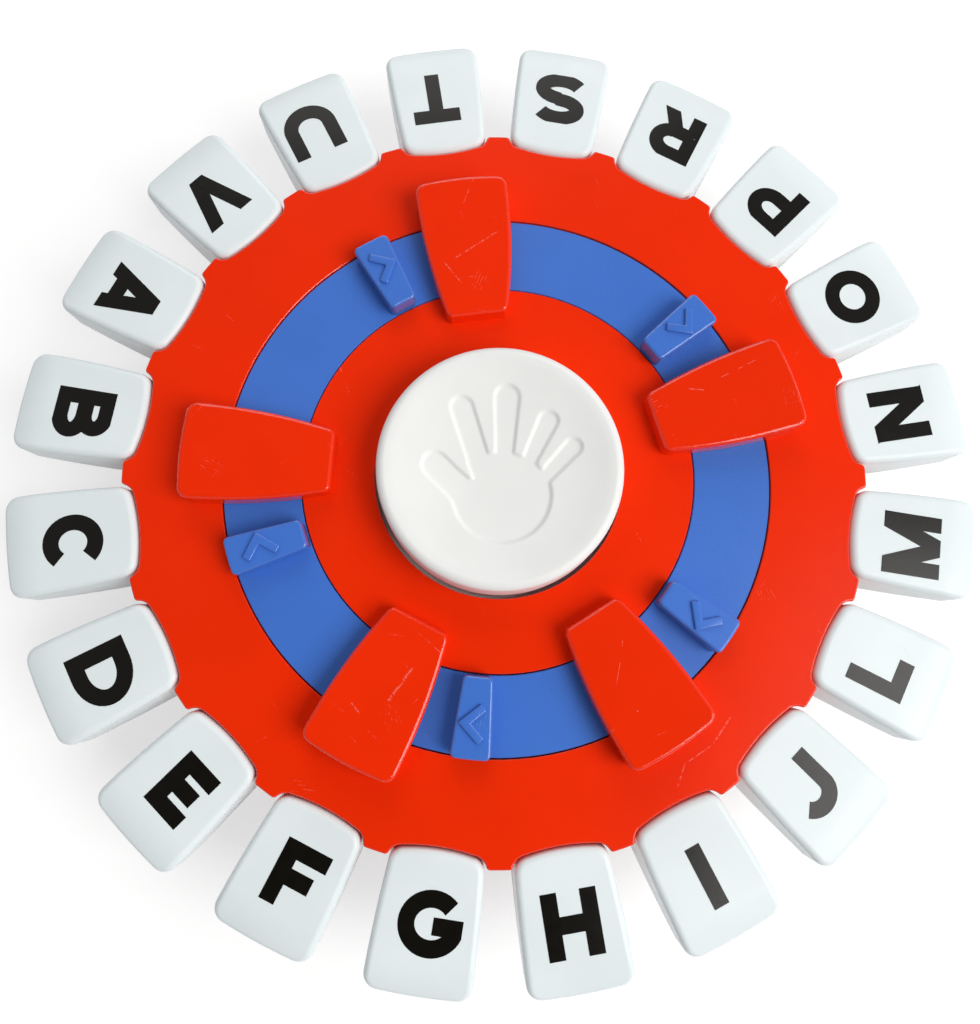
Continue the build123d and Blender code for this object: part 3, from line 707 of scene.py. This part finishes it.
def make_button(finish):
    """The palm button as one soft moulding, with the hand pressed into its dish."""
    profile = button_profile(button_high.x / mm - flange_reach)
    top = button_high.z / mm
    points = [(0.0, 0.0, top + dish_height(0.0) - hand_sink(0.0, 0.0))]
    for radius, height in profile:
        for step in range(spokes):
            turn = math.tau * step / spokes
            x = radius * math.cos(turn)
            y = radius * math.sin(turn)
            sink = hand_sink(x, y) if height > -dish_depth - 1 and radius <= hand_reach else 0.0
            points.append((x, y, top + height - sink))
    faces = [(0, 1 + step, 1 + (step + 1) % spokes) for step in range(spokes)]
    for ring in range(len(profile) - 1):
        first = 1 + ring * spokes
        for step in range(spokes):
            after = (step + 1) % spokes
            faces.append((first + step, first + spokes + step, first + spokes + after, first + after))
    points.append((0.0, 0.0, top - web_depth))
    first = 1 + (len(profile) - 1) * spokes
    faces += [(first + step, len(points) - 1, first + (step + 1) % spokes) for step in range(spokes)]
    points, faces = add_plunger(points, faces, top)
    mesh = bpy.data.meshes.new("palm_button")
    mesh.from_pydata([tuple(value * mm for value in point) for point in points], [], faces)
    mesh.shade_smooth()
    mesh.set_sharp_from_angle(angle=math.radians(35))
    mesh.materials.append(finish)
    button = bpy.data.objects.new("palm_button", mesh)
    bpy.context.scene.collection.objects.link(button)
    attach(button, "button_body")
    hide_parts("push_button")


def add_plunger(points, faces, top):
    """The pin under the button that presses the switch."""
    first = len(points)
    below = first + plunger_sides
    for height in (top - web_depth + 0.5, top - plunger_length):
        for step in range(plunger_sides):
            turn = math.tau * step / plunger_sides
            points.append((plunger_place[0] + plunger_radius * math.cos(turn),
                           plunger_place[1] + plunger_radius * math.sin(turn), height))
    for step in range(plunger_sides):
        after = (step + 1) % plunger_sides
        faces.append((first + step, below + step, below + after, first + after))
    faces.append(tuple(reversed(range(below, below + plunger_sides))))
    faces.append(tuple(range(first, below)))
    return points, faces


# Arrowheads on the reset ring's tabs, with their sizes in millimetres

# Each tab stands this far behind a bridge of the deck.
bridge_angles = (352.4, 72.4, 148.0, 207.5, 273.2)
tab_lag = 21.6
arrow_radius = 67.45
arrow_shift = 2.4
arrow_arm = 6.4
arrow_stroke = 2.3
arrow_half_angle = 42.5
tab_arrow_rise = 0.5
arrow_rise = 0.85
arrow_sink = 0.2
arrow_bevel = 0.4


def arrow_outline():
    """The outline of an arrowhead that points to +X, with its outer point first."""
    lean = math.radians(arrow_half_angle)
    half = arrow_stroke / 2
    arm = Vector((-math.cos(lean), math.sin(lean)))
    side = Vector((math.sin(lean), math.cos(lean)))
    tip = Vector((half / math.sin(lean), 0.0))
    upper = [tip, arm * arrow_arm + side * half, arm * arrow_arm - side * half]
    lower = [Vector((point.x, -point.y)) for point in reversed(upper[1:])]
    return upper + [-tip] + lower


def make_arrowhead(angle, finish):
    """A raised arrowhead with rounded edges, over the plain one of its tab."""
    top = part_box("reset_ring")[1].z / mm - tab_arrow_rise
    shape = bmesh.new()
    low = [shape.verts.new((point.x, point.y, top - arrow_sink)) for point in arrow_outline()]
    made = bmesh.ops.extrude_face_region(shape, geom=[shape.faces.new(low)])
    high = [item for item in made["geom"] if isinstance(item, bmesh.types.BMVert)]
    bmesh.ops.translate(shape, verts=high, vec=(0.0, 0.0, arrow_rise + arrow_sink))
    upper = [edge for edge in shape.edges if any(vert in high for vert in edge.verts)]
    bmesh.ops.bevel(shape, geom=upper, offset=arrow_bevel, segments=4, profile=0.5, affect="EDGES")
    bmesh.ops.recalc_face_normals(shape, faces=shape.faces)
    mesh = bpy.data.meshes.new("tab_arrowhead")
    shape.to_mesh(mesh)
    shape.free()
    spot = Matrix.Translation((arrow_shift, arrow_radius, 0.0))
    mesh.transform(Matrix.Scale(mm, 4) @ Matrix.Rotation(math.radians(-angle), 4, "Z") @ spot)
    mesh.shade_smooth()
    mesh.set_sharp_from_angle(angle=math.radians(40))
    mesh.materials.append(finish)
    piece = bpy.data.objects.new("tab_arrowhead", mesh)
    bpy.context.scene.collection.objects.link(piece)
    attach(piece, "reset_ring_body")


# Finishes on the CAD pieces

# Scratches of this game that stand out: both ends, seen from above, and the width.
red_lines = [
    ((-13.5, 61.0), (0.0, 70.0), 0.35), ((-16.0, 60.5), (-10.5, 54.0), 0.3),
    ((62.5, -66.0), (57.0, -73.5), 0.35), ((57.0, -73.5), (50.0, -78.0), 0.3),
    ((49.5, -78.0), (47.0, -84.5), 0.3), ((-22.5, -52.5), (-29.5, -62.0), 0.6),
    ((-38.5, -61.5), (-36.0, -64.5), 0.4), ((52.5, 23.5), (57.5, 23.0), 0.3),
]
blue = moulded_plastic("blue_ring", colour=(0.058, 0.182, 0.64), scratched=(0.3, 0.45, 0.85),
                       rough=0.28, gloss=0.25, wear=0.05, edge_shine=0.8)
cream = moulded_plastic("white_button", colour=(0.9, 0.905, 0.89), scratched=(0.78, 0.77, 0.73),
                        rough=0.42, gloss=0.3, wear=0.04)
finishes = {
    "red_casing": moulded_plastic("red_casing", colour=(0.9, 0.028, 0.002), scratched=(0.95, 0.36, 0.3),
                                  rough=0.24, gloss=0.06, wear=0.07, edge_shine=1.0, worn_lines=red_lines),
    "blue_ring": blue,
    "white_keys": moulded_plastic("white_keys", colour=(0.83, 0.9, 0.915), scratched=(0.72, 0.75, 0.74),
                                  rough=0.25, gloss=0.2, wear=0.06),
    "white_button": cream,
    "inner_plastic": moulded_plastic("inner_plastic", colour=(0.06, 0.06, 0.065),
                                     scratched=(0.2, 0.2, 0.2), rough=0.5, gloss=0.4, wear=0.1),
    "black_parts": moulded_plastic("black_parts", colour=(0.02, 0.02, 0.021),
                                   scratched=(0.1, 0.1, 0.1), rough=0.45, gloss=0.4, wear=0.1),
    "spring_steel": metal("spring_steel", (0.62, 0.62, 0.64), rough=0.3, stretch=(0.4, 0.4, 3.0)),
    "screw_steel": metal("screw_steel", (0.66, 0.65, 0.62), rough=0.32, stretch=(2.0, 2.0, 0.5)),
    "contact_plate": metal("contact_plate", (0.78, 0.76, 0.72), rough=0.22, stretch=(0.6, 2.5, 0.6)),
    "cell_can": cell_wrap(),
    "board_green": board_laminate(),
    "wire_sleeve": wire_sleeve(),
    "foot_rubber": foot_rubber(),
}
for part in frame["record"]["subparts"]:
    slots = nodes[part["node"]].data.materials
    slots.clear()
    slots.append(finishes[part["material_slot"]])

make_camera()
make_stage()
make_lamp("window_lamp", azimuth=114.0, elevation=46.0, distance=1.45, width=0.95, height=1.0,
          watts=16.8, colour=(1.0, 0.985, 0.965))
make_lamp("fill_lamp", azimuth=356.0, elevation=34.0, distance=1.2, width=0.8, height=0.7,
          watts=3.7, colour=(1.0, 0.99, 0.98))
make_letters(printed_ink())
make_button(cream)
for bridge_angle in bridge_angles:
    make_arrowhead(bridge_angle - tab_lag, blue)
bpy.context.scene.view_settings.view_transform = "Standard"
